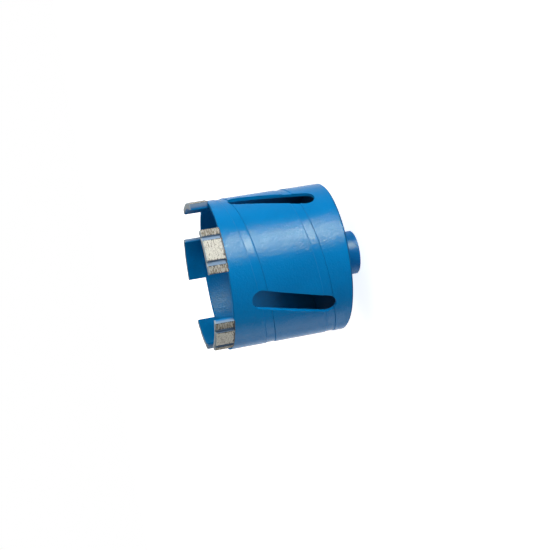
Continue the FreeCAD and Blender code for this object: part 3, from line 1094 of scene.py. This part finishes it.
class COREBIT_OT_stage(Operator):
    """Set the floor, the lamps, the background and the camera"""

    bl_idname = "corebit.stage"
    bl_label = "Stage"

    # Turn and elevation in degrees, distance, width and height in metres, radiance, what the
    # lamp shows in, and how warm it is
    LAMPS = {
        "key_lamp": (39.5, -12, 2.0, 1.0, 0.22, 27.0, "light", 0.0),
        "shine_lamp": (39.5, -12, 2.0, 1.0, 0.26, 205.0, "shine", 0.0),
        "mouth_lamp": (42, 18, 1.2, 0.6, 0.6, 5.0, "light", 0.03),
        "top_lamp": (80, 22, 0.9, 0.6, 0.6, 0.86, "light", 0.3),
        "low_lamp": (-96, -12, 1.0, 0.6, 0.6, 3.2, "light", 0.0),
        "low_shine_lamp": (-105, -12, 1.0, 0.6, 0.6, 2.6, "shine", 0.0),
        "back_lamp": (170, 30, 1.0, 0.6, 0.6, 2.0, "light", 0.0),
    }
    LAMP_TARGET = Vector((0, 0, 0.046))
    SIDE_LIGHT = 0.15
    FLOOR_SIZE = 6.0
    SENSOR_WIDTH = 36.0

    def add_lamp(self, name, turn, elevation, distance, width, height, radiance, shows, warmth):
        """Soft box aimed at the barrel, turned from the camera's side towards +X.

        It shows in the "shine" or in the plain "light" on the surfaces.
        """
        turn = math.radians(turn)
        elevation = math.radians(elevation)
        way = Vector((
            math.cos(elevation) * math.sin(turn),
            -math.cos(elevation) * math.cos(turn),
            math.sin(elevation),
        ))
        bpy.ops.object.select_all(action="DESELECT")
        bpy.ops.object.light_add(type="AREA", location=self.LAMP_TARGET + way * distance)
        lamp = bpy.context.active_object
        lamp.name = name
        lamp.rotation_euler = way.to_track_quat("Z", "Y").to_euler()
        lamp.data.shape = "RECTANGLE"
        lamp.data.size = width
        lamp.data.size_y = height
        lamp.data.energy = math.pi * width * height * radiance
        lamp.data.color = (1.0, 1.0 - 0.2 * warmth, 1.0 - warmth)
        lamp.visible_glossy = shows != "light"
        lamp.visible_diffuse = shows != "shine"
        lamp.visible_camera = False

    def set_background(self, scene):
        world = bpy.data.worlds.new("studio")
        world.use_nodes = True
        scene.world = world
        tree = world.node_tree
        strength = calculate(tree, "MAXIMUM", show_white(tree), self.SIDE_LIGHT)
        background = tree.nodes["Background"]
        background.inputs["Color"].default_value = (1, 1, 1, 1)
        tree.links.new(strength, background.inputs["Strength"])

    def set_camera(self, scene, stage):
        flat = math.cos(stage.elevation)
        back = Vector((
            flat * math.sin(stage.turn), -flat * math.cos(stage.turn), math.sin(stage.elevation)
        ))
        right = Vector((math.cos(stage.turn), math.sin(stage.turn), 0))
        upright = Matrix((right, back.cross(right), back)).transposed().to_4x4()
        target = Vector((0, 0, stage.target))
        bpy.ops.object.camera_add()
        camera = bpy.context.active_object
        camera.matrix_world = (
            Matrix.Translation(target + back * stage.distance)
            @ upright
            @ Matrix.Rotation(-stage.roll, 4, "Z")
        )
        camera.data.sensor_width = self.SENSOR_WIDTH
        camera.data.lens = stage.focal
        camera.data.shift_x = (IMAGE_SIZE / 2 - VIEW_CENTRE[0]) / IMAGE_SIZE
        camera.data.shift_y = (VIEW_CENTRE[1] - IMAGE_SIZE / 2) / IMAGE_SIZE
        camera.data.clip_start = 0.01
        camera.data.clip_end = 20.0
        scene.camera = camera

    def execute(self, context):
        scene = context.scene
        stage = scene.corebit_stage
        scene.view_settings.view_transform = "Standard"
        bpy.ops.object.select_all(action="DESELECT")
        bpy.ops.mesh.primitive_plane_add(size=self.FLOOR_SIZE, location=(0, 0, 0))
        floor = name_new("floor")
        floor.data.materials.append(make_floor_finish(stage))
        floor.visible_glossy = False
        floor.visible_shadow = False
        for name, settings in self.LAMPS.items():
            self.add_lamp(name, *settings)
        self.set_background(scene)
        self.set_camera(scene, stage)
        return {"FINISHED"}


# Panel and registration


class COREBIT_PT_panel(Panel):
    bl_label = "Diamond core bit"
    bl_space_type = "VIEW_3D"
    bl_region_type = "UI"
    bl_category = "Core bit"

    def draw(self, context):
        for operator in OPERATORS:
            self.layout.operator(operator.bl_idname)
        for name, settings in SETTINGS.items():
            box = self.layout.box()
            values = getattr(context.scene, name)
            for prop in settings.__annotations__:
                box.prop(values, prop)


SETTINGS = {
    "corebit_barrel": BarrelSizes,
    "corebit_segments": SegmentSizes,
    "corebit_hub": HubSizes,
    "corebit_finish": FinishColours,
    "corebit_stage": StageSettings,
}
OPERATORS = (
    COREBIT_OT_barrel,
    COREBIT_OT_segments,
    COREBIT_OT_hub,
    COREBIT_OT_rear,
    COREBIT_OT_stage,
)


def register():
    for made in (*SETTINGS.values(), *OPERATORS, COREBIT_PT_panel):
        bpy.utils.register_class(made)
    for name, settings in SETTINGS.items():
        setattr(bpy.types.Scene, name, PointerProperty(type=settings))


def unregister():
    for name in SETTINGS:
        delattr(bpy.types.Scene, name)
    for made in (COREBIT_PT_panel, *reversed(OPERATORS), *reversed(SETTINGS.values())):
        bpy.utils.unregister_class(made)


def main():
    register()
    bpy.ops.corebit.barrel()
    bpy.ops.corebit.segments()
    bpy.ops.corebit.hub()
    bpy.ops.corebit.rear()
    bpy.ops.corebit.stage()


if __name__ == "__main__":
    main()
